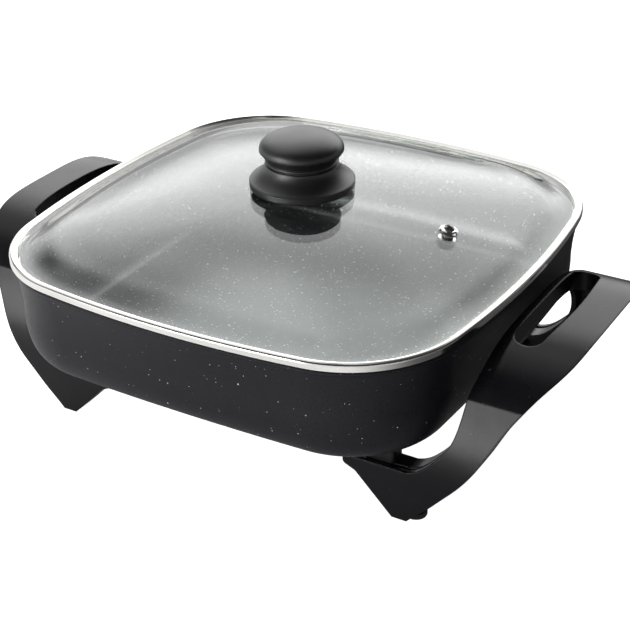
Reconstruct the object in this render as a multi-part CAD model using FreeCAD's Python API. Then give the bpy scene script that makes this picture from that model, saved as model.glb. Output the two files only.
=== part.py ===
# Electric skillet with a domed glass lid. All sizes in millimetres.
# Row frame: origin on the table under the middle of the pan, +X to the right handle,
# -Y to the front, +Z up. Each node is built in place and written to its own STEP file.
import FreeCAD
import Part
import math
import os

V = FreeCAD.Vector
os.makedirs("parts", exist_ok=True)

# ---- driving dimensions ----------------------------------------------------
# Rounded square with bowed sides: half width, corner radius, side radius.
RIM_HALF = 158.0
RIM_CORNER = 72.7
RIM_SIDE = 671.0

PAN_TOP = 122.3          # top of the pan's lip
PAN_FLOOR = 56.3         # underside of the pan's flat bottom
PAN_WALL = 3.6           # wall thickness
PAN_BOTTOM = 4.5         # bottom thickness
BOSS_BOTTOM = 51.0       # lower face of the screw bosses under the pan

GLASS_EDGE = -1.6        # glass edge, measured outward from the lid's crest outline
GLASS_EDGE_Z = 123.3     # underside of the glass at its edge
GLASS_THICK = 3.4
DOME_RISE = 25.7
DOME_POWER = 2.3
RIM_BOTTOM = 122.7
RIM_TOP = 128.4

KNOB_BASE = 152.7        # underside of the knob's flange
VENT_X = 103.5

HANDLE_SKIN = 3.2        # wall of the hollow handle
HANDLE_FRONT = 101.5     # half depth over the legs
HANDLE_TOP = 114.0
GRIP_UNDER = 102.0       # underside of the grip
LEG_DEPTH = 17.5         # how far the leg channel reaches in behind its front wall
HOLE_X0, HOLE_X1 = 168.5, 185.5      # hand hole at its ends
HOLE_BULGE = 4.5                     # how far its outer side bows out in the middle
HOLE_HALF_Y = 51.0
HOLE_CORNER = 8.4

SPACER_X, SPACER_Y = 109.0, 91.0     # screw joint between leg tab and pan
TAB_TOP = 35.0
FOOT_X, FOOT_Y = 131.0, 91.5
FOOT_R = 7.0

ELEMENT_Z = 50.8         # axis of the heating tube under the pan
PROBE_Z = 45.0           # height of the control socket's pins
PIN_Y = 19.0             # half spacing of the two pins
PIN_R = 2.5
PIN_ROOT_R = 2.9         # the pins are thicker where the beads hold them
PROBE_R = 3.5


# ---- helpers ---------------------------------------------------------------
def rounded_wire(half, corner, side, z):
    """Closed wire of eight tangent arcs: a rounded square with bowed sides."""
    k = half - side
    b = -2.0 * k
    c = (-b + math.sqrt(b * b - 8.0 * (k * k - (side - corner) ** 2))) / 4.0
    turn = math.atan2(c, c - k)
    arcs = []
    for quarter in range(4):
        base = quarter * math.pi / 2.0
        spans = ((k, 0.0, side, -turn, turn), (c, c, corner, turn, math.pi / 2.0 - turn))
        for cx, cy, radius, a0, a1 in spans:
            pts = []
            for a in (a0, (a0 + a1) / 2.0, a1):
                x = cx + radius * math.cos(a)
                y = cy + radius * math.sin(a)
                pts.append(V(x * math.cos(base) - y * math.sin(base),
                             x * math.sin(base) + y * math.cos(base), z))
            arcs.append(Part.Arc(pts[0], pts[1], pts[2]).toShape())
    return Part.Wire(arcs)


def loft(sections, ruled=False):
    """Solid through (half, corner, side, z) sections."""
    return Part.makeLoft([rounded_wire(*s) for s in sections], True, ruled)


def rim_loft(steps):
    """Ruled solid through (outward offset, z) steps measured from the lid's crest outline."""
    return loft([(RIM_HALF + d, RIM_CORNER + d, RIM_SIDE + d, z) for d, z in steps], True)


def revolve(points, x=0.0, y=0.0):
    """Solid of revolution about a vertical axis from (radius, z) points."""
    wire = Part.makePolygon([V(r, 0, z) for r, z in points] + [V(points[0][0], 0, points[0][1])])
    solid = Part.Face(wire).revolve(V(0, 0, 0), V(0, 0, 1), 360)
    solid.translate(V(x, y, 0))
    return solid


def smooth_revolve(curves):
    """Solid of revolution from a list of (radius, z) runs; runs of three or more are splines."""
    edges = []
    for run in curves:
        pts = [V(r, 0, z) for r, z in run]
        if len(pts) == 2:
            edges.append(Part.makeLine(pts[0], pts[1]))
        else:
            spline = Part.BSplineCurve()
            spline.interpolate(pts)
            edges.append(spline.toShape())
    return Part.Face(Part.Wire(edges)).revolve(V(0, 0, 0), V(0, 0, 1), 360)


def cylinder(radius, z0, z1, x=0.0, y=0.0):
    return Part.makeCylinder(radius, z1 - z0, V(x, y, z0))


def x_cylinder(radius, x0, x1, y, z):
    return Part.makeCylinder(radius, x1 - x0, V(x0, y, z), V(1, 0, 0))


def rounded_box(x0, x1, y0, y1, z0, z1, radius):
    """Box with its four upright edges rounded."""
    box = Part.makeBox(x1 - x0, y1 - y0, z1 - z0, V(x0, y0, z0))
    upright = [e for e in box.Edges
               if abs(e.Vertexes[0].Point.z - e.Vertexes[1].Point.z) > 0.5 * (z1 - z0)]
    return box.makeFillet(radius, upright)


def mirrored_x(shape):
    return shape.mirror(V(0, 0, 0), V(1, 0, 0))


def four_corners(make, x, y):
    """The same small part at the four (+-x, +-y) places."""
    return [make(sx * x, sy * y) for sx in (1, -1) for sy in (1, -1)]


def save(name, shape):
    if isinstance(shape, list):
        shape = Part.makeCompound(shape)
    shape.exportStep("parts/" + name + ".step")


# ---- pan -------------------------------------------------------------------
def pan_bottom(inset, floor):
    """Rounded lower part of the pan's outer skin, or of its hollow when inset is above 0."""
    rx, rz = 17.3 - 0.3 * inset, 30.2
    out = []
    steps = 6
    for i in range(steps + 1):
        a = math.pi / 2.0 * i / steps
        grow = rx * math.sin(a)
        half = 134.5 - inset + grow
        corner = 53.5 + 0.6 * grow + 6.0 * (grow / rx) ** 4 - inset
        side = 2400.0 - 60.0 * grow
        out.append((half, corner, side, floor + rz * (1.0 - math.cos(a))))
    return out


def pan_skin(inset, floor, top):
    low = pan_bottom(inset, floor)
    half, corner, side, z = low[-1]
    high = [low[-1], (153.4 - inset, 71.0 - inset, 960.0, (z + top) / 2.0),
            (157.4 - inset, 73.0 - inset, 700.0, top)]
    return loft(low).fuse(loft(high)).removeSplitter()


def pan():
    """Deep pan with a rolled lip, a cast rib for the element and bosses for the screws."""
    lip_z = PAN_TOP - 3.4
    body = pan_skin(0.0, PAN_FLOOR, lip_z)
    hollow = pan_skin(PAN_WALL, PAN_FLOOR + PAN_BOTTOM, PAN_TOP + 0.5)
    lip = loft([(157.4, 73.0, 700.0, lip_z), (158.5, 74.1, 701.1, lip_z + 1.2),
                (158.5, 74.1, 701.1, PAN_TOP - 0.9), (157.6, 73.2, 700.2, PAN_TOP)], True)
    body = body.fuse(lip)
    rib_z = ELEMENT_Z - 1.5
    rib = loft([(91.0, 46.0, 900.0, rib_z), (95.0, 48.0, 900.0, PAN_FLOOR + 1.0)], True)
    rib = rib.cut(loft([(79.0, 36.0, 900.0, rib_z - 2.0), (75.0, 34.0, 900.0, PAN_FLOOR + 0.01)], True))
    body = body.fuse(rib)
    for boss in four_corners(lambda x, y: cylinder(7.5, BOSS_BOTTOM, PAN_FLOOR + 1.0, x, y),
                             SPACER_X, SPACER_Y):
        body = body.fuse(boss)
    boss_z = PROBE_Z - 5.5
    probe_boss = Part.makeBox(46.0, 17.0, PAN_FLOOR + 1.0 - boss_z, V(-126.0, -8.5, boss_z))
    body = body.fuse(probe_boss)
    body = body.cut(hollow)
    body = body.cut(x_cylinder(PROBE_R, -127.0, -96.0, 0.0, PROBE_Z))
    body = body.cut(element_path(4.0))
    for hole in four_corners(lambda x, y: cylinder(1.7, BOSS_BOTTOM - 1.0, PAN_FLOOR + 1.8, x, y),
                             SPACER_X, SPACER_Y):
        body = body.cut(hole)
    for y in (-5.5, 5.5):
        body = body.cut(cylinder(1.0, PROBE_Z - 6.0, PROBE_Z - 3.6, -110.0, y))
    return body


def element_path(radius):
    """Tube that runs round under the pan with both ends led out to the control socket."""
    z = ELEMENT_Z
    h = 85.0
    r = 38.0
    y_end = PIN_Y
    lead = 12.0
    pts = []
    c = h - r
    for cx, cy, start in ((c, -c, -90.0), (c, c, 0.0), (-c, c, 90.0)):
        pts.append((cx, cy, start))
    edges = []
    first = V(-c, -h, z)
    last = first
    for cx, cy, start in pts:
        arc_pts = []
        for a in (start, start + 45.0, start + 90.0):
            t = math.radians(a)
            arc_pts.append(V(cx + r * math.cos(t), cy + r * math.sin(t), z))
        edges.append(Part.makeLine(last, arc_pts[0]))
        edges.append(Part.Arc(arc_pts[0], arc_pts[1], arc_pts[2]).toShape())
        last = arc_pts[2]
    turn = V(-h, y_end + lead, z)
    edges.append(Part.makeLine(last, turn))
    mid = V(-h - lead * (1 - math.cos(math.pi / 4)), y_end + lead * (1 - math.sin(math.pi / 4)), z)
    edges.append(Part.Arc(turn, mid, V(-h - lead, y_end, z)).toShape())
    edges.append(Part.makeLine(V(-h - lead, y_end, z), V(-114.0, y_end, z)))
    start_turn = V(-h, -c, z)
    corner_mid = V(-c - r * math.cos(math.pi / 4), -c - r * math.sin(math.pi / 4), z)
    head = [Part.makeLine(V(-114.0, -y_end, z), V(-h - lead, -y_end, z))]
    mid = V(-h - lead * (1 - math.cos(math.pi / 4)), -y_end - lead * (1 - math.sin(math.pi / 4)), z)
    head.append(Part.Arc(V(-h - lead, -y_end, z), mid, V(-h, -y_end - lead, z)).toShape())
    head.append(Part.makeLine(V(-h, -y_end - lead, z), start_turn))
    head.append(Part.Arc(start_turn, corner_mid, first).toShape())
    spine = Part.Wire(head + edges)
    circle = Part.Wire(Part.makeCircle(radius, V(-114.0, -y_end, z), V(1, 0, 0)))
    return spine.makePipeShell([circle], True, False, 2)


# ---- control socket ---------------------------------------------------------
def terminal_pins():
    """Two round pins the temperature control plugs on to, welded under the tube's ends."""
    tube = element_path(4.0)
    out = []
    for y in (-PIN_Y, PIN_Y):
        pin = x_cylinder(PIN_R, -146.0, -126.0, y, PROBE_Z)
        root = x_cylinder(PIN_ROOT_R, -126.0, -109.0, y, PROBE_Z)
        tip = Part.makeCone(1.3, PIN_R, 2.0, V(-148.0, y, PROBE_Z), V(1, 0, 0))
        out.append(pin.fuse(tip).fuse(root).cut(tube))
    return out


def terminal_insulators():
    """Ceramic beads where the pins leave the socket's back wall."""
    out = []
    for y in (-PIN_Y, PIN_Y):
        bead = x_cylinder(5.0, -124.0, -118.2, y, PROBE_Z)
        collar = x_cylinder(6.4, -125.8, -123.9, y, PROBE_Z)
        bead = bead.fuse(collar).cut(x_cylinder(PIN_ROOT_R + 0.05, -127.0, -117.0, y, PROBE_Z))
        out.append(bead)
    return out


def socket_shroud():
    """Open-ended plastic housing round the pins, under the left handle."""
    z = PROBE_Z
    outer = Part.makeBox(36.0, 62.0, 20.0, V(-156.0, -31.0, z - 10.0))
    outer = outer.makeFillet(6.0, [e for e in outer.Edges if abs(e.tangentAt(e.FirstParameter).x) > 0.9])
    inner = Part.makeBox(34.0, 56.0, 14.6, V(-157.0, -28.0, z - 7.3))
    inner = inner.makeFillet(4.0, [e for e in inner.Edges if abs(e.tangentAt(e.FirstParameter).x) > 0.9])
    shell = outer.cut(inner)
    for y in (-PIN_Y, PIN_Y):
        shell = shell.cut(x_cylinder(5.05, -126.0, -117.0, y, z))
    shell = shell.cut(Part.makeBox(10.0, 17.2, 17.0, V(-127.0, -8.6, z - 5.6)))
    foot = rounded_box(-120.2, -100.0, -8.0, 8.0, z - 8.6, z - 5.6, 2.0)
    shell = shell.fuse(foot)
    for y in (-5.5, 5.5):
        shell = shell.cut(cylinder(1.3, z - 9.0, z - 5.0, -110.0, y))
    return shell


def shroud_screws():
    out = []
    z = PROBE_Z
    for y in (-5.5, 5.5):
        head = revolve([(0, z - 10.4), (1.9, z - 10.2), (2.4, z - 9.5), (2.4, z - 8.6), (1.0, z - 8.6),
                        (1.0, z - 4.0), (0, z - 3.8)], -110.0, y)
        slot = Part.makeBox(3.0, 0.6, 0.8, V(-111.5, y - 0.3, z - 10.5))
        out.append(head.cut(slot))
    return out


def earth_contact():
    """Sprung earth strip beside the probe bore."""
    z = PROBE_Z - 6.8
    strip = Part.makeBox(22.0, 5.0, 0.8, V(-148.0, -2.5, z))
    tongue = Part.makeBox(0.8, 5.0, 2.6, V(-126.8, -2.5, z))
    curl = Part.makeCylinder(1.3, 5.0, V(-148.0, -2.5, z + 1.3), V(0, 1, 0))
    curl = curl.cut(Part.makeCylinder(0.6, 5.0, V(-148.0, -2.5, z + 1.3), V(0, 1, 0)))
    return strip.fuse(tongue).fuse(curl)


# ---- handles ---------------------------------------------------------------
ARCH_LOW = [(101.5, 30.0), (101.0, 39.0), (98.0, 53.0), (92.0, 69.5), (84.4, 85.8)]
ARCH_HIGH = [(84.4, 85.8), (77.0, 94.5), (69.0, 101.2), (61.0, 105.9), (50.0, 110.3), (36.0, 113.0),
             (20.0, 113.9), (0.0, 114.0)]
ARCH_DROP = [0.0, 2.0, 4.0, 5.2, 6.2, 6.8, 7.0, 7.0]

OUTER_EDGE = [(129.5, 0.3), (134.0, 5.0), (143.5, 14.2), (151.0, 22.5), (158.0, 30.2), (164.5, 38.0),
              (170.5, 46.5), (176.0, 56.0), (181.0, 66.0), (186.5, 76.0), (193.0, 86.0), (200.0, 95.3),
              (206.0, 102.0), (211.0, 108.0), (214.5, 114.0), (217.0, 121.0)]
INNER_EDGE = [(160.5, 121.0), (160.8, 106.0), (160.0, 97.0), (158.6, 88.0), (157.8, 79.0), (156.8, 70.0),
              (154.8, 61.5), (150.3, 53.0), (144.0, 45.6), (136.5, 38.8), (127.8, 35.0)]


def spline_edge(points):
    curve = Part.BSplineCurve()
    curve.interpolate([V(*p) for p in points])
    return curve.toShape()


def arch_wire(x, inset, drop):
    """Closed cross-section of the arch at one x; drop lowers the crown, inset shrinks it."""
    def pt(y, z):
        return (x, y, z)
    low = []
    high = []
    last = len(ARCH_HIGH) - 1
    for i, (y, z) in enumerate(ARCH_LOW):
        low.append((y - inset, z - inset * i * 0.2))
    for i, (y, z) in enumerate(ARCH_HIGH):
        shrink = inset * (1.0 - 0.75 * i / last) if i < last else 0.0
        high.append((y - shrink, z - inset * (0.8 + 0.2 * i / last) - drop * ARCH_DROP[i]))
    low[-1] = (high[0][0], high[0][1])
    edges = [Part.makeLine(V(x, -low[0][0], -20.0), V(x, -low[0][0], low[0][1]))]
    edges.append(spline_edge([pt(-y, z) for y, z in low]))
    edges.append(spline_edge([pt(-y, z) for y, z in high[:-1]] + [pt(0.0, high[-1][1])]
                             + [pt(y, z) for y, z in reversed(high[:-1])]))
    edges.append(spline_edge([pt(y, z) for y, z in reversed(low)]))
    edges.append(Part.makeLine(V(x, low[0][0], low[0][1]), V(x, low[0][0], -20.0)))
    edges.append(Part.makeLine(V(x, low[0][0], -20.0), V(x, -low[0][0], -20.0)))
    return Part.Wire(edges)


def arch_solid(inset):
    """Everything under the arch's outer surface; its crown falls away towards the pan."""
    steps = ((60.0, 1.0), (157.0, 1.0), (160.0, 0.74), (163.0, 0.43), (166.0, 0.17), (169.0, 0.03),
             (172.0, 0.0), (230.0, 0.0))
    return Part.makeLoft([arch_wire(x, inset, drop) for x, drop in steps], True, True)


def inner_arch(grow):
    """Space under the grip and between the legs."""
    pts = [(84.0, 46.0), (82.0, 60.0), (75.5, 76.0), (64.5, 89.0), (48.0, 98.0), (26.0, 101.5)]
    pts = [(y - 0.7 * grow, z + grow * i / 5.0) for i, (y, z) in enumerate(pts)]
    top = GRIP_UNDER + grow
    edges = [Part.makeLine(V(60, -pts[0][0], -20), V(60, -pts[0][0], pts[0][1]))]
    edges.append(spline_edge([(60, -y, z) for y, z in pts] + [(60, 0, top)]
                             + [(60, y, z) for y, z in reversed(pts)]))
    edges.append(Part.makeLine(V(60, pts[0][0], pts[0][1]), V(60, pts[0][0], -20)))
    edges.append(Part.makeLine(V(60, pts[0][0], -20), V(60, -pts[0][0], -20)))
    return Part.Face(Part.Wire(edges)).extrude(V(180, 0, 0))


def side_profile(inset):
    """Front view of leg, foot wedge and tab, extruded over the handle's whole depth."""
    def edge(points, away):
        out = []
        for i, (x, z) in enumerate(points):
            a = points[max(0, i - 1)]
            b = points[min(len(points) - 1, i + 1)]
            dx, dz = b[0] - a[0], b[1] - a[1]
            n = math.hypot(dx, dz)
            out.append((x - dz / n * away, z + dx / n * away))
        return out
    outer = edge(OUTER_EDGE, inset)
    inner = edge(INNER_EDGE, inset)
    y0 = -140.0
    sole_z = 0.3 + inset
    outer[0] = (129.5 - 0.2 * inset, sole_z)
    top_z = TAB_TOP - inset
    inner[-1] = (127.8 + 0.5 * inset, top_z)
    edges = [spline_edge([(x, y0, z) for x, z in outer])]
    edges.append(Part.makeLine(V(outer[-1][0], y0, outer[-1][1]), V(inner[0][0], y0, inner[0][1])))
    edges.append(spline_edge([(x, y0, z) for x, z in inner]))
    tab = [(90.0 + inset, top_z), (86.0 + inset, 32.0 - 0.5 * inset), (87.5 + inset, 28.5 + 0.1 * inset),
           (94.5 + inset, 25.5 + 0.6 * inset), (119.5 + 0.6 * inset, sole_z)]
    last = (inner[-1][0], inner[-1][1])
    edges.append(Part.makeLine(V(last[0], y0, last[1]), V(tab[0][0], y0, tab[0][1])))
    nose = [V(tab[i][0], y0, tab[i][1]) for i in (0, 1, 2, 3)]
    edges.append(Part.Arc(nose[0], nose[1], nose[2]).toShape())
    edges.append(Part.makeLine(nose[2], nose[3]))
    edges.append(Part.makeLine(nose[3], V(tab[4][0], y0, tab[4][1])))
    edges.append(Part.makeLine(V(tab[4][0], y0, tab[4][1]), V(outer[0][0], y0, outer[0][1])))
    return Part.Face(Part.Wire(edges)).extrude(V(0, 280, 0))


def hole_solid(grow, z0=60.0, z1=130.0):
    """Upright tool for the hand hole; its outer side is bowed like the grip."""
    y = HOLE_HALF_Y + grow
    a = V(HOLE_X0 - grow, -y, z0)
    b = V(HOLE_X1 + grow, -y, z0)
    mid = V(HOLE_X1 + HOLE_BULGE + grow, 0, z0)
    c = V(HOLE_X1 + grow, y, z0)
    d = V(HOLE_X0 - grow, y, z0)
    wire = Part.Wire([Part.makeLine(a, b), Part.Arc(b, mid, c).toShape(), Part.makeLine(c, d),
                      Part.makeLine(d, a)])
    block = Part.Face(wire).extrude(V(0, 0, z1 - z0))
    upright = [e for e in block.Edges
               if abs(e.Vertexes[0].Point.z - e.Vertexes[-1].Point.z) > 0.5 * (z1 - z0)]
    return block.makeFillet(HOLE_CORNER + grow, upright)


GRIP_SCREW = (197.6, 41.0)


def edge_slots():
    """Narrow gap behind the legs' front walls, along the tab and up the pan-side edge."""
    low = [(x, z) for x, z in reversed(INNER_EDGE) if z < 72.0]
    pts = [(92.0, 30.0), (122.0, 30.0)] + [(x + 6.0, z - 5.0) for x, z in low]
    pts += [(x - 8.0, z + 5.0) for x, z in reversed(low)] + [(92.0, 40.0)]
    wire = Part.makePolygon([V(x, -140.0, z) for x, z in pts + pts[:1]])
    strip = Part.Face(wire).extrude(V(0, 280, 0))
    return strip.common(arch_solid(HANDLE_SKIN)).cut(arch_solid(HANDLE_SKIN + 2.8))


def handle():
    """Right handle: grip and two channel legs with foot wedges and tabs, hollow from inside."""
    block = arch_solid(0.0).common(side_profile(0.0))
    block = block.cut(inner_arch(0.0))
    block = block.cut(Part.makeBox(60.0, 2.0 * (HANDLE_FRONT - LEG_DEPTH), 60.0,
                                   V(80.0, -(HANDLE_FRONT - LEG_DEPTH), -10.0)))
    core = arch_solid(HANDLE_SKIN).common(side_profile(HANDLE_SKIN))
    core = core.cut(hole_solid(2.6))
    for sy in (-1, 1):
        boss = cylinder(4.2, 80.0, 130.0, GRIP_SCREW[0], sy * GRIP_SCREW[1])
        core = core.cut(boss.cut(inner_arch(3.0)))
        core = core.cut(rounded_box(SPACER_X - 8.0, SPACER_X + 8.0, sy * SPACER_Y - 8.0,
                                    sy * SPACER_Y + 8.0, -5.0, 60.0, 3.0))
        core = core.cut(cylinder(FOOT_R + 0.6, -5.0, 12.0, FOOT_X, sy * FOOT_Y))
    shell = block.cut(core)
    shell = shell.cut(hole_solid(0.0))
    for sy in (-1, 1):
        y = sy * SPACER_Y
        shell = shell.cut(cylinder(5.6, -5.0, 25.0, SPACER_X, y))
        shell = shell.cut(cylinder(2.3, 20.0, 40.0, SPACER_X, y))
        shell = shell.cut(cylinder(FOOT_R + 0.15, -5.0, 4.4, FOOT_X, sy * FOOT_Y))
        shell = shell.cut(cylinder(2.5, 0.0, 9.4, FOOT_X, sy * FOOT_Y))
        shell = shell.cut(cylinder(1.2, 90.0, 108.5, GRIP_SCREW[0], sy * GRIP_SCREW[1]))
    return shell.cut(edge_slots())


def grip_cover():
    """Cover that closes the grip from below, let in between its walls."""
    band = inner_arch(2.8).cut(inner_arch(0.2))
    band = band.common(side_profile(HANDLE_SKIN + 0.3))
    band = band.common(Part.makeBox(60.0, 116.0, 60.0, V(160.0, -58.0, 70.0)))
    band = band.common(arch_solid(HANDLE_SKIN + 0.3))
    band = band.cut(hole_solid(2.9))
    for sy in (-1, 1):
        band = band.cut(cylinder(1.6, 80.0, 130.0, GRIP_SCREW[0], sy * GRIP_SCREW[1]))
    return band


# ---- joints between handle and pan, and feet ---------------------------------
def handle_spacer(x, y):
    """Block between a leg's tab and the boss under the pan."""
    block = rounded_box(x - 9.5, x + 9.5, y - 6.2, y + 6.2, TAB_TOP, BOSS_BOTTOM, 2.5)
    return block.cut(cylinder(2.4, TAB_TOP - 1.0, BOSS_BOTTOM + 1.0, x, y))


def handle_screw(x, y):
    """Pan-head screw from under the tab into the pan's boss."""
    screw = revolve([(0, 20.4), (2.6, 20.6), (3.9, 21.4), (4.1, 22.4), (4.1, 24.0), (2.1, 24.0), (2.1, 50.9),
                     (1.7, 50.9), (1.7, PAN_FLOOR + 0.8), (0, PAN_FLOOR + 1.6)], x, y)
    for turn in (0.0, 90.0):
        bar = Part.makeBox(4.4, 0.9, 1.8, V(x - 2.2, y - 0.45, 20.2))
        bar.rotate(V(x, y, 0), V(0, 0, 1), turn)
        screw = screw.cut(bar)
    return screw


def handle_washer(x, y):
    return cylinder(5.0, 24.0, 25.0, x, y).cut(cylinder(2.3, 23.0, 26.0, x, y))


def grip_screw(x, y):
    """Small countersunk screw that holds the grip cover."""
    z = grip_screw_z()
    screw = revolve([(0, z), (2.7, z), (2.7, z + 1.2), (1.2, z + 2.0), (1.2, z + 9.0), (0, z + 9.4)], x, y)
    return screw.cut(Part.makeBox(3.2, 0.7, 0.9, V(x - 1.6, y - 0.35, z - 0.2)))


def grip_screw_z():
    """Height of the screw heads just under the cover at the screws' places."""
    return GRIP_UNDER - 4.6


def foot(x, y):
    """Rubber foot: ribbed pad with a stem pressed up into the leg's sole."""
    pad = revolve([(0, 0.6), (2.0, 0.6), (2.6, 0.0), (5.9, 0.0), (FOOT_R - 0.3, 0.5), (FOOT_R, 1.2),
                   (FOOT_R, 4.3), (2.4, 4.3), (2.4, 8.6), (1.6, 9.2), (0, 9.2)], x, y)
    return pad


# ---- lid ---------------------------------------------------------------------
DOME_STEPS = (1.0, 0.985, 0.97, 0.955, 0.94, 0.92, 0.89, 0.84, 0.77, 0.68, 0.58, 0.47, 0.36, 0.25, 0.15, 0.06)


def dome_height(s):
    """Rise of the glass above its edge at the share s of the way out from the middle."""
    rise = DOME_RISE * (1.0 - s ** DOME_POWER)
    if s > 0.89:
        t = (1.0 - s) / 0.11
        rise *= t * t * (3.0 - 2.0 * t) * 0.5 + 0.5 * t
    return rise


def dome_section(s, lift):
    """Outline of the dome at share s: square-ish at the edge, nearly round in the middle."""
    half = (RIM_HALF + GLASS_EDGE) * s
    corner = half * (0.455 + 0.40 * (1.0 - s))
    side = half * (4.28 - 2.6 * (1.0 - s))
    return (half, corner, side, GLASS_EDGE_Z + dome_height(s) + lift)


def dome_solid(lift, base):
    """Solid below the dome's surface raised by lift, down to the plane z = base."""
    dome = loft([dome_section(s, lift) for s in DOME_STEPS])
    half, corner, side, z = dome_section(1.0, lift)
    plinth = loft([(half, corner, side, base), (half, corner, side, z)], True)
    return dome.fuse(plinth)


def vent_frame(shape):
    """Moves a shape built about the origin on to the glass at the vent, square to its surface."""
    half = RIM_HALF + GLASS_EDGE
    s = VENT_X / half
    slope = (dome_height(s + 0.01) - dome_height(s - 0.01)) / (0.02 * half)
    shape = shape.copy()
    shape.rotate(V(0, 0, 0), V(0, 1, 0), -math.degrees(math.atan(slope)))
    shape.translate(V(VENT_X, 0, GLASS_EDGE_Z + GLASS_THICK + dome_height(s)))
    return shape


def lid_glass():
    """Tempered glass dome with a flat edge, a hole for the knob screw and one for the vent."""
    glass = dome_solid(GLASS_THICK, GLASS_EDGE_Z + 0.5)
    glass = glass.cut(dome_solid(0.0, GLASS_EDGE_Z - 5.0))
    flat = loft([dome_section(1.0, 0.0), dome_section(1.0, GLASS_THICK)], True)
    inner = loft([dome_section(0.985, -6.0), dome_section(0.985, GLASS_THICK + 6.0)], True)
    glass = glass.fuse(flat.cut(inner))
    glass = glass.cut(cylinder(5.2, 140.0, 160.0))
    return glass.cut(vent_frame(cylinder(4.0, -12.0, 12.0)))


def lid_rim():
    """Polished steel band rolled round the glass edge."""
    band = rim_loft([(1.2, RIM_BOTTOM), (2.0, RIM_BOTTOM + 0.7), (2.0, 126.5), (1.8, 127.2), (1.3, 127.9),
                     (0.6, 128.25), (0.0, RIM_TOP)])
    band = band.cut(rim_loft([(-4.4, RIM_BOTTOM - 1.0), (-4.4, 126.2), (-2.9, 126.95), (-1.9, 127.6),
                              (-1.1, 128.15), (-0.6, RIM_TOP + 0.1)]))
    slot = loft([dome_section(1.0, 0.0), dome_section(1.0, GLASS_THICK)], True)
    top = GLASS_EDGE_Z + GLASS_THICK
    rise = rim_loft([(-1.7, top - 0.05), (-4.6, top + 0.3)])
    return band.cut(slot).cut(rise)


def vent_eyelet():
    """Rolled steel eyelet with its lower flange inside the lid."""
    ring = revolve([(3.0, 2.2), (3.4, 2.9), (4.3, 3.2), (5.3, 2.7), (6.0, 1.5), (6.0, 0.7), (3.9, 0.7),
                    (3.9, -3.4), (5.4, -3.4), (5.7, -3.8), (5.4, -4.3), (3.6, -4.3), (3.0, -3.7)])
    return vent_frame(ring)


def vent_gasket():
    return vent_frame(revolve([(4.0, 0.0), (5.6, 0.0), (5.6, 0.7), (4.0, 0.7)]))


KNOB_WIDE = 177.0        # height of the cap's widest ring
KNOB_R = 27.0
KNOB_CROWN = 10.5


def knob_cap():
    """Mushroom cap: flattened dome over a crisp edge, tapering in below."""
    n = 2.4
    dome = []
    for i in range(9):
        a = math.pi / 2.0 * i / 8.0
        dome.append((KNOB_R * math.cos(a) ** (2.0 / n), KNOB_WIDE + KNOB_CROWN * math.sin(a) ** (2.0 / n)))
    dome[-1] = (0.0, KNOB_WIDE + KNOB_CROWN)
    ring = [(22.7, 169.0), (23.3, 169.4), (23.5, 170.1), (23.3, 170.8), (22.6, 171.2)]
    taper = [(22.6, 171.2), (23.6, 172.5), (25.0, 174.3), (26.3, 176.0), (KNOB_R, KNOB_WIDE)]
    cap = smooth_revolve([[(0.0, 169.0), (22.7, 169.0)], ring, taper, dome,
                          [(0.0, KNOB_WIDE + KNOB_CROWN), (0.0, 169.0)]])
    recess = revolve([(8.5, 168.0), (20.0, 168.0), (20.0, 174.0), (17.0, 179.0), (8.5, 180.0)])
    return cap.cut(recess).cut(cylinder(4.5, 168.0, 181.0))


def knob_skirt():
    """Flared flange under the cap, hollow from below, with a tube for the screw."""
    flare = [(33.3, 157.6), (31.6, 158.4), (29.6, 159.7), (27.0, 162.0), (24.8, 164.9), (23.7, 167.4),
             (23.5, 168.2)]
    low = KNOB_BASE
    skirt = smooth_revolve([[(0.0, low), (33.0, low)], [(33.0, low), (33.8, low + 0.9)],
                            [(33.8, low + 0.9), (33.8, 157.0)], [(33.8, 157.0), (33.3, 157.6)], flare,
                            [(23.5, 168.2), (22.3, 168.4)], [(22.3, 168.4), (22.3, 169.0)],
                            [(22.3, 169.0), (0.0, 169.0)], [(0.0, 169.0), (0.0, low)]])
    hollow = revolve([(12.0, 152.0), (31.4, 152.0), (31.2, 155.6), (26.5, 159.0), (22.0, 163.2),
                      (20.6, 166.0), (12.0, 166.0)])
    seat = cylinder(9.6, 152.0, KNOB_BASE + 1.2)
    return skirt.cut(hollow).cut(seat).cut(cylinder(2.9, 150.0, 170.0))


def knob_insert():
    """Knurled brass insert moulded into the cap."""
    body = cylinder(4.5, 169.2, 179.2)
    for i in range(12):
        groove = cylinder(0.5, 171.0, 177.5)
        groove.translate(V(4.7 * math.cos(math.radians(30 * i)), 4.7 * math.sin(math.radians(30 * i)), 0))
        body = body.cut(groove)
    return body.cut(cylinder(2.5, 169.0, 178.6))


def glass_top():
    return GLASS_EDGE_Z + GLASS_THICK + dome_height(DOME_STEPS[-1])


def knob_screw():
    """Screw from inside the lid up into the insert."""
    z = glass_top() - GLASS_THICK - 2.0
    screw = revolve([(0, z - 3.0), (2.4, z - 2.9), (4.2, z - 1.8), (4.5, z), (2.5, z), (2.5, 177.0),
                     (1.9, 178.0), (0, 178.0)])
    for turn in (0.0, 90.0):
        bar = Part.makeBox(5.0, 1.0, 1.6, V(-2.5, -0.5, z - 3.2))
        bar.rotate(V(0, 0, 0), V(0, 0, 1), turn)
        screw = screw.cut(bar)
    return screw


def knob_washer():
    z = glass_top() - GLASS_THICK - 2.0
    return revolve([(2.7, z), (9.0, z), (9.0, z + 1.0), (2.7, z + 1.0)])


def knob_gasket_bottom():
    z = glass_top() - GLASS_THICK - 1.0
    return revolve([(2.8, z), (9.6, z), (9.6, z + 1.0), (5.1, z + 1.0), (2.8, z + 1.0)])


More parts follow.
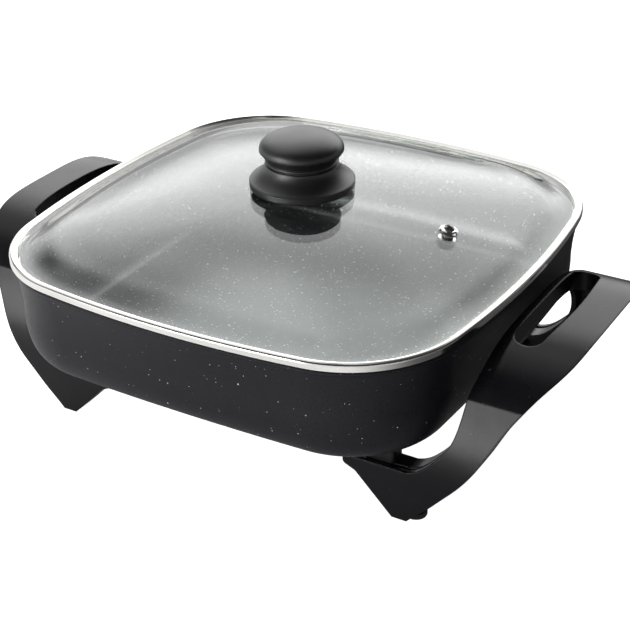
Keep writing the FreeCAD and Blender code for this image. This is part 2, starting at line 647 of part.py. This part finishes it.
def knob_gasket_top():
    z = glass_top()
    top = KNOB_BASE + 1.2
    return revolve([(2.8, z), (9.3, z), (9.3, top), (2.8, top)])


# ---- write every node ----------------------------------------------------------
def build():
    nodes = {
        "pan": pan(),
        "heating_element": element_path(4.0),
        "terminal_pins": terminal_pins(),
        "terminal_insulators": terminal_insulators(),
        "socket_shroud": socket_shroud(),
        "shroud_screws": shroud_screws(),
        "earth_contact": earth_contact(),
        "handle_spacers": four_corners(handle_spacer, SPACER_X, SPACER_Y),
        "handle_screws": four_corners(handle_screw, SPACER_X, SPACER_Y),
        "handle_washers": four_corners(handle_washer, SPACER_X, SPACER_Y),
        "grip_cover_screws": four_corners(grip_screw, GRIP_SCREW[0], GRIP_SCREW[1]),
        "foot_front_right": foot(FOOT_X, -FOOT_Y),
        "foot_back_right": foot(FOOT_X, FOOT_Y),
        "foot_front_left": foot(-FOOT_X, -FOOT_Y),
        "foot_back_left": foot(-FOOT_X, FOOT_Y),
        "lid_glass": lid_glass(),
        "lid_rim": lid_rim(),
        "vent_eyelet": vent_eyelet(),
        "vent_gasket": vent_gasket(),
        "knob_cap": knob_cap(),
        "knob_skirt": knob_skirt(),
        "knob_insert": knob_insert(),
        "knob_screw": knob_screw(),
        "knob_washer": knob_washer(),
        "knob_gasket_top": knob_gasket_top(),
        "knob_gasket_bottom": knob_gasket_bottom(),
    }
    right = handle()
    cover = grip_cover()
    nodes["handle_right"] = right
    nodes["handle_left"] = mirrored_x(right)
    nodes["grip_cover_right"] = cover
    nodes["grip_cover_left"] = mirrored_x(cover)
    return nodes


for node_name, node_shape in build().items():
    save(node_name, node_shape)
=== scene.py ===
"""Electric skillet: materials, table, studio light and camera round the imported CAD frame, in metres."""
import bpy
import math
from mathutils import Matrix, Vector

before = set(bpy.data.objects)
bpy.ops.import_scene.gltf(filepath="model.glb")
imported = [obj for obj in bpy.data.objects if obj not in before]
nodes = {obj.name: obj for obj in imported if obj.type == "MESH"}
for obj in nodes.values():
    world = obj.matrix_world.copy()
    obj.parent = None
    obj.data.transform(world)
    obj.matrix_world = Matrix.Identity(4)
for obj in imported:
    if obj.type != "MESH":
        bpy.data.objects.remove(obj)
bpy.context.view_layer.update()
scene = bpy.context.scene

WHITE = (1.0, 1.0, 1.0)
BLACK = (0.0, 0.0, 0.0)

# ---- camera values ---------------------------------------------------------------
CAMERA_PLACE = Vector((0.4592, -0.7537, 0.5470))
AZIMUTH = math.radians(30.92)       # from the front towards the right
ELEVATION = math.radians(29.03)
ROLL = math.radians(-0.98)
LENS, SENSOR = 86.35, 36.0          # mm
NEAREST, FARTHEST = 0.05, 50.0      # clipping

# ---- studio values: light levels, where the white background is 1.0 ----------------
SWEEP = 0.75                        # low glow all round
SCREEN = 2.6                        # big soft screen behind the object
OVERHEAD = 1.0                      # patch above, to the left
LEFT_PATCH = 0.3                    # faint patch at the left
FRONT_STRIP = 7.5                   # small bright patch, low and in front on the left
ROOM = 0.035                        # everything else
TABLE_GLOW = 0.5                    # painted light: glow on the table's left side, as reflections see it
TABLE_LIFT = 0.85                   # lifts the table to white for the camera
TABLE_SIZE = 14.0
TABLE_GAP = 0.0004                  # keeps the table's face clear of the rubber feet

# ---- coating values --------------------------------------------------------------
INWARD = -0.01                      # inside the pan, a wall's normal dotted with its place is under this
UPWARD = 0.3                        # the pan's floor has normals whose height is over this
LIP_FROM = 0.100                    # above this height, upward faces belong to the lip


# ---- node helpers ----------------------------------------------------------------
class Graph:
    """Short calls that add nodes to a tree; each takes sockets, numbers or colours as its inputs."""

    def __init__(self, tree, coord):
        self.tree = tree
        self.coord = self.node("ShaderNodeTexCoord").outputs[coord]

    def node(self, kind):
        return self.tree.nodes.new(kind)

    def link(self, a, b):
        self.tree.links.new(a, b)

    def put(self, socket, value):
        if isinstance(value, bpy.types.NodeSocket):
            self.link(value, socket)
        elif isinstance(value, tuple) and socket.type == "RGBA":
            socket.default_value = (*value, 1.0)
        else:
            socket.default_value = value

    def math(self, op, a, b=0.0, c=0.0, clamp=False):
        n = self.node("ShaderNodeMath")
        n.operation = op
        n.use_clamp = clamp
        for socket, value in zip(n.inputs, (a, b, c)):
            self.put(socket, value)
        return n.outputs[0]

    def product(self, *factors):
        total = factors[0]
        for factor in factors[1:]:
            total = self.math("MULTIPLY", total, factor)
        return total

    def vmath(self, op, a, b=BLACK):
        n = self.node("ShaderNodeVectorMath")
        n.operation = op
        self.put(n.inputs[0], a)
        self.put(n.inputs[1], b)
        return n.outputs["Value" if op in ("DOT_PRODUCT", "LENGTH") else "Vector"]

    def split(self, vector):
        n = self.node("ShaderNodeSeparateXYZ")
        self.put(n.inputs[0], vector)
        return n.outputs

    def noise(self, scale, detail=3.0, rough=0.5, vector=None):
        n = self.node("ShaderNodeTexNoise")
        self.put(n.inputs["Vector"], vector or self.coord)
        n.inputs["Scale"].default_value = scale
        n.inputs["Detail"].default_value = detail
        n.inputs["Roughness"].default_value = rough
        return n.outputs["Fac"]

    def cells(self, scale, vector):
        """The distance to the nearest cell's point, and a colour that is random for each cell."""
        n = self.node("ShaderNodeTexVoronoi")
        self.put(n.inputs["Vector"], vector)
        n.inputs["Scale"].default_value = scale
        return n.outputs["Distance"], n.outputs["Color"]

    def ramp(self, value, start, end, low=0.0, high=1.0):
        """A smooth step from low, at start, to high, at end."""
        n = self.node("ShaderNodeMapRange")
        n.interpolation_type = "SMOOTHSTEP"
        for socket, given in zip(n.inputs, (value, start, end, low, high)):
            self.put(socket, given)
        return n.outputs[0]

    def spread(self, noise, low=0.0, high=1.0):
        """The middle of a noise's range, 0.3 to 0.7, spread over low to high."""
        return self.ramp(noise, 0.3, 0.7, low, high)

    def mix(self, share, a, b):
        n = self.node("ShaderNodeMix")
        n.data_type = "RGBA"
        factor, first_colour, second_colour = n.inputs[0], n.inputs[6], n.inputs[7]
        self.put(factor, share)
        self.put(first_colour, a)
        self.put(second_colour, b)
        return n.outputs[2]

    def camera_ray(self):
        return self.node("ShaderNodeLightPath").outputs["Is Camera Ray"]


class Mat(Graph):
    """A material with one Principled shader, textured by place on the object."""

    def __init__(self, name):
        self.mat = bpy.data.materials.new(name)
        self.mat.use_nodes = True
        self.mat.node_tree.nodes.clear()
        super().__init__(self.mat.node_tree, "Object")
        self.out = self.node("ShaderNodeOutputMaterial")
        self.bsdf = self.node("ShaderNodeBsdfPrincipled")
        self.link(self.bsdf.outputs[0], self.out.inputs["Surface"])

    def set(self, **inputs):
        """Fills the shader's inputs, named with _ for each space, and returns the material."""
        for key, value in inputs.items():
            self.put(self.bsdf.inputs[key.replace("_", " ")], value)
        return self.mat

    def geometry(self, output):
        return self.node("ShaderNodeNewGeometry").outputs[output]

    def bump(self, height, strength, depth, normal=None):
        n = self.node("ShaderNodeBump")
        n.inputs["Strength"].default_value = strength
        n.inputs["Distance"].default_value = depth
        self.put(n.inputs["Height"], height)
        if normal is not None:
            self.put(n.inputs["Normal"], normal)
        return n.outputs[0]


def specks(m, per_metre, share, size, offset):
    """Roundish flecks: one in a share of the cells, each with its own size and strength."""
    shifted = m.vmath("ADD", m.coord, (offset, offset * 1.7, -offset))
    distance, chance = m.cells(per_metre, shifted)
    chosen, bigness, strength = m.split(chance)
    present = m.math("LESS_THAN", chosen, share)
    radius = m.math("MULTIPLY_ADD", m.math("POWER", bigness, 2.5), size, size * 0.35)
    spot = m.ramp(m.math("DIVIDE", distance, radius), 0.65, 1.0, 1.0, 0.0)
    return m.product(spot, present, m.ramp(strength, 0.0, 1.0, 0.35, 1.0))


def scaled(colour, factor):
    return tuple(c * factor for c in colour)


# ---- materials -------------------------------------------------------------------
def inside_pan(m):
    """1 on the pan's inner wall and floor, 0 on its outside and lip."""
    place = m.split(m.coord)
    normal = m.split(m.geometry("Normal"))
    outwards = m.math("ADD", m.product(normal[0], place[0]), m.product(normal[1], place[1]))
    wall = m.math("LESS_THAN", outwards, INWARD)
    floor = m.product(m.math("GREATER_THAN", normal[2], UPWARD), m.math("LESS_THAN", place[2], LIP_FROM))
    return m.math("MAXIMUM", wall, floor)


def coating():
    """Dark stone-look non-stick coating: fine grain all over, most flecks and a soft sheen inside."""
    m = Mat("pan_coating")
    inside = inside_pan(m)
    outside = m.math("SUBTRACT", 1.0, inside)
    grain = m.noise(1300.0, 2.0, 0.6)
    cloud = m.noise(28.0, 3.0, 0.6)
    outer = m.mix(m.ramp(grain, 0.35, 0.75), (0.0035, 0.0035, 0.006), (0.014, 0.014, 0.020))
    inner = m.mix(m.ramp(grain, 0.3, 0.75), (0.010, 0.011, 0.014), (0.034, 0.036, 0.043))
    cloudy = m.product(m.ramp(cloud, 0.35, 0.7, 0.0, 0.25), inside)
    base = m.mix(cloudy, m.mix(inside, outer, inner), (0.04, 0.042, 0.048))
    few = m.math("MAXIMUM", specks(m, per_metre=260.0, share=0.24, size=0.12, offset=0.13),
                 specks(m, per_metre=520.0, share=0.16, size=0.17, offset=0.57))
    many = m.math("MAXIMUM", specks(m, per_metre=210.0, share=0.95, size=0.19, offset=0.31),
                  specks(m, per_metre=460.0, share=0.75, size=0.27, offset=0.77))
    fleck = m.math("ADD", m.product(few, outside), m.product(many, inside), clamp=True)
    return m.set(Base_Color=m.mix(fleck, base, (0.85, 0.87, 0.89)),
                 Roughness=m.ramp(grain, 0.3, 0.8, 0.36, 0.52), Specular_IOR_Level=0.32,
                 Coat_Weight=inside, Coat_Roughness=0.31, Coat_IOR=2.0,
                 Normal=m.bump(grain, strength=0.5, depth=0.0002))


def phenolic(name, colour, rough, per_metre, grain, level, edge):
    """Black moulded plastic: satin grain, uneven gloss, a few pale specks and slightly rounded edges."""
    m = Mat(name)
    fine = m.noise(per_metre, 2.0, 0.6)
    cloud = m.noise(22.0, 3.0, 0.55)
    body = m.mix(m.spread(cloud, 0.0, 0.6), colour, scaled(colour, 1.5))
    pale = m.product(specks(m, per_metre=320.0, share=0.02, size=0.16, offset=0.21), 0.5)
    rounded = m.node("ShaderNodeBevel")
    rounded.samples = 4
    rounded.inputs["Radius"].default_value = edge
    return m.set(Base_Color=m.mix(pale, body, (0.25, 0.25, 0.26)),
                 Roughness=m.ramp(cloud, 0.25, 0.75, rough - 0.03, rough + 0.05), Specular_IOR_Level=level,
                 Normal=m.bump(fine, strength=grain, depth=0.0001, normal=rounded.outputs[0]))


def polished_steel(name, rough):
    """Bright steel with fine level lines and light smudges."""
    m = Mat(name)
    lines = m.noise(260.0, 4.0, 0.6, m.vmath("MULTIPLY", m.coord, (1.0, 1.0, 30.0)))
    smudge = m.noise(16.0, 3.0, 0.5)
    return m.set(Base_Color=m.mix(m.spread(smudge), (0.90, 0.89, 0.86), (0.82, 0.81, 0.78)), Metallic=1.0,
                 Roughness=m.spread(lines, rough * 0.8, rough * 1.3),
                 Normal=m.bump(lines, strength=0.06, depth=0.00005))


def plain_metal(name, colour, rough):
    """Unpolished metal with a mottled surface."""
    m = Mat(name)
    mottled = m.noise(400.0, 4.0, 0.65)
    return m.set(Base_Color=m.mix(m.spread(mottled), colour, scaled(colour, 0.7)), Metallic=1.0,
                 Roughness=m.spread(mottled, rough * 0.85, rough * 1.25),
                 Normal=m.bump(mottled, strength=0.15, depth=0.00008))


def soft_matter(name, colour, rough, per_metre, uneven):
    """Rubber, silicone and ceramic: a plain body with a fine uneven surface."""
    m = Mat(name)
    fine = m.noise(per_metre, 3.0, 0.6)
    return m.set(Base_Color=m.mix(m.spread(fine), colour, scaled(colour, 0.8)),
                 Roughness=m.spread(fine, rough - 0.05, rough + 0.05),
                 Normal=m.bump(fine, strength=uneven, depth=0.0001))


def clear_glass(name, index=1.5):
    """Tempered glass that lets light straight through and mirrors by Fresnel on both faces."""
    m = Mat(name)
    m.tree.nodes.remove(m.bsdf)
    smear = m.noise(9.0, 3.0, 0.6)
    wavy = m.bump(m.noise(14.0, 1.0, 0.4), strength=0.01, depth=0.002)
    fresnel = m.node("ShaderNodeFresnel")
    # On back faces the Fresnel node uses 1 / IOR, so they get 1 / index and mirror as front faces do.
    m.put(fresnel.inputs["IOR"], m.math("MULTIPLY_ADD", m.geometry("Backfacing"), 1.0 / index - index, index))
    m.put(fresnel.inputs["Normal"], wavy)
    clear = m.node("ShaderNodeBsdfTransparent")
    m.put(clear.inputs["Color"], m.mix(m.spread(smear), (0.955, 0.972, 0.968), (0.945, 0.962, 0.957)))
    mirror = m.node("ShaderNodeBsdfGlossy")
    m.put(mirror.inputs["Color"], WHITE)
    m.put(mirror.inputs["Roughness"], m.spread(smear, 0.005, 0.015))
    m.put(mirror.inputs["Normal"], wavy)
    both = m.node("ShaderNodeMixShader")
    for socket, source in zip(both.inputs, (fresnel, clear, mirror)):
        m.link(source.outputs[0], socket)
    m.link(both.outputs[0], m.out.inputs["Surface"])
    return m.mat


def paint(names, material):
    for name in names:
        slots = nodes[name].data.materials
        slots.clear()
        slots.append(material)


paint(["pan"], coating())
paint(["handle_right", "handle_left"],
      phenolic("handle_black", (0.006, 0.006, 0.0075), rough=0.25, per_metre=1400.0, grain=0.12, level=0.27,
               edge=0.0016))
paint(["grip_cover_right", "grip_cover_left", "socket_shroud", "handle_spacers"],
      phenolic("black_plastic", (0.007, 0.007, 0.008), rough=0.42, per_metre=1100.0, grain=0.3, level=0.35,
               edge=0.0012))
paint(["knob_cap", "knob_skirt"],
      phenolic("knob_black", (0.008, 0.008, 0.009), rough=0.40, per_metre=1500.0, grain=0.8, level=0.9,
               edge=0.0006))
paint(["lid_rim"], polished_steel("rim_steel", rough=0.13))
paint(["vent_eyelet"], polished_steel("eyelet_steel", rough=0.10))
paint(["terminal_pins"], polished_steel("pin_steel", rough=0.18))
paint(["handle_screws", "grip_cover_screws", "handle_washers", "knob_screw", "knob_washer", "shroud_screws",
       "earth_contact"], plain_metal("screw_steel", (0.62, 0.62, 0.63), rough=0.30))
paint(["heating_element"], plain_metal("element_steel", (0.33, 0.32, 0.31), rough=0.45))
paint(["knob_insert"], plain_metal("brass_insert", (0.80, 0.60, 0.28), rough=0.28))
paint(["terminal_insulators"],
      soft_matter("ceramic", (0.80, 0.78, 0.72), rough=0.35, per_metre=900.0, uneven=0.15))
paint(["foot_front_right", "foot_back_right", "foot_front_left", "foot_back_left"],
      soft_matter("rubber_black", (0.018, 0.018, 0.018), rough=0.75, per_metre=1600.0, uneven=0.5))
paint(["vent_gasket", "knob_gasket_top", "knob_gasket_bottom"],
      soft_matter("silicone", (0.55, 0.55, 0.54), rough=0.45, per_metre=700.0, uneven=0.2))
paint(["lid_glass"], clear_glass("tempered_glass"))


# ---- studio ----------------------------------------------------------------------
def pale_table():
    """White to the camera; in reflections a painted light on the left, painted shade on the right and a
    painted shadow under the object.
    """
    m = Mat("floor_pale")
    x, y, _ = m.split(m.coord)
    seen = m.camera_ray()
    # painted light and shade: the table's left side is bright and its right side dark, in colour and glow
    painted_lit_side = m.ramp(m.math("MULTIPLY_ADD", y, 0.6, x), -0.05, 0.32, 1.0, 0.08)
    # painted shadow: the table's glow fades under and around the object
    painted_shadow_ramp = m.ramp(m.vmath("LENGTH", m.coord), 0.15, 0.45, 0.45, 1.0)
    glow = m.math("ADD", m.product(painted_lit_side, painted_shadow_ramp, TABLE_GLOW), m.product(seen, TABLE_LIFT))
    tone = m.mix(m.spread(m.noise(2.0)), (0.93, 0.93, 0.93), (0.90, 0.90, 0.90))
    # for reflections the base colour itself carries the painted light on the left and painted shade on the
    # right
    return m.set(Base_Color=m.mix(m.math("MAXIMUM", painted_lit_side, seen), BLACK, tone), Roughness=0.9,
                 Specular_IOR_Level=0.1, Emission_Color=WHITE, Emission_Strength=glow)


def studio_world():
    """A low sweep all round, a soft screen behind and three patches; the camera itself sees only white."""
    world = bpy.data.worlds.new("studio")
    scene.world = world
    world.use_nodes = True
    sky = Graph(world.node_tree, "Generated")
    height = sky.split(sky.coord)[2]

    def facing(way, direction):
        return sky.vmath("DOT_PRODUCT", way, tuple(Vector(direction).normalized()))

    level_way = sky.vmath("NORMALIZE", sky.vmath("MULTIPLY", sky.coord, (1.0, 1.0, 0.0)))
    wide = sky.ramp(facing(level_way, (-0.36, 0.93, 0.0)), 0.6217, 0.9326)
    tall = sky.product(sky.ramp(height, 0.02, 0.24), sky.ramp(height, 0.48, 0.86, 1.0, 0.2))
    lights = (
        sky.ramp(height, 0.06, 0.24, SWEEP, 0.0),
        sky.product(wide, tall, SCREEN),
        sky.ramp(facing(sky.coord, (-0.55, 0.15, 0.82)), 0.88, 0.98, 0.0, OVERHEAD),
        sky.ramp(facing(sky.coord, (-0.88, -0.30, 0.35)), 0.86, 0.99, 0.0, LEFT_PATCH),
        sky.ramp(facing(sky.coord, (-0.45, -0.89, 0.10)), 0.93, 0.985, 0.0, FRONT_STRIP),
    )
    level = ROOM
    for light in lights:
        level = sky.math("ADD", level, light)
    to_white = sky.math("SUBTRACT", 1.0, level)
    background = sky.tree.nodes["Background"]
    sky.put(background.inputs["Color"], WHITE)
    sky.put(background.inputs["Strength"], sky.math("MULTIPLY_ADD", sky.camera_ray(), to_white, level))


bpy.ops.mesh.primitive_plane_add(size=TABLE_SIZE, location=(0, 0, -TABLE_GAP))
ground = bpy.context.object
ground.name = "floor"
ground.data.materials.append(pale_table())
studio_world()
scene.view_settings.view_transform = "Standard"


# ---- camera ----------------------------------------------------------------------
def place_camera():
    """A camera at CAMERA_PLACE that looks in from AZIMUTH and ELEVATION, rolled about its own axis."""
    data = bpy.data.cameras.new("camera")
    data.sensor_width = SENSOR
    data.lens = LENS
    data.clip_start = NEAREST
    data.clip_end = FARTHEST
    camera = bpy.data.objects.new("camera", data)
    scene.collection.objects.link(camera)
    scene.camera = camera
    back = Vector((math.sin(AZIMUTH) * math.cos(ELEVATION), -math.cos(AZIMUTH) * math.cos(ELEVATION),
                   math.sin(ELEVATION)))
    right = Vector((math.cos(AZIMUTH), math.sin(AZIMUTH), 0.0))
    up = back.cross(right)
    rolled_right = right * math.cos(ROLL) + up * math.sin(ROLL)
    rolled_up = up * math.cos(ROLL) - right * math.sin(ROLL)
    turn = Matrix((rolled_right, rolled_up, back)).transposed()
    camera.matrix_world = Matrix.Translation(CAMERA_PLACE) @ turn.to_4x4()


place_camera()
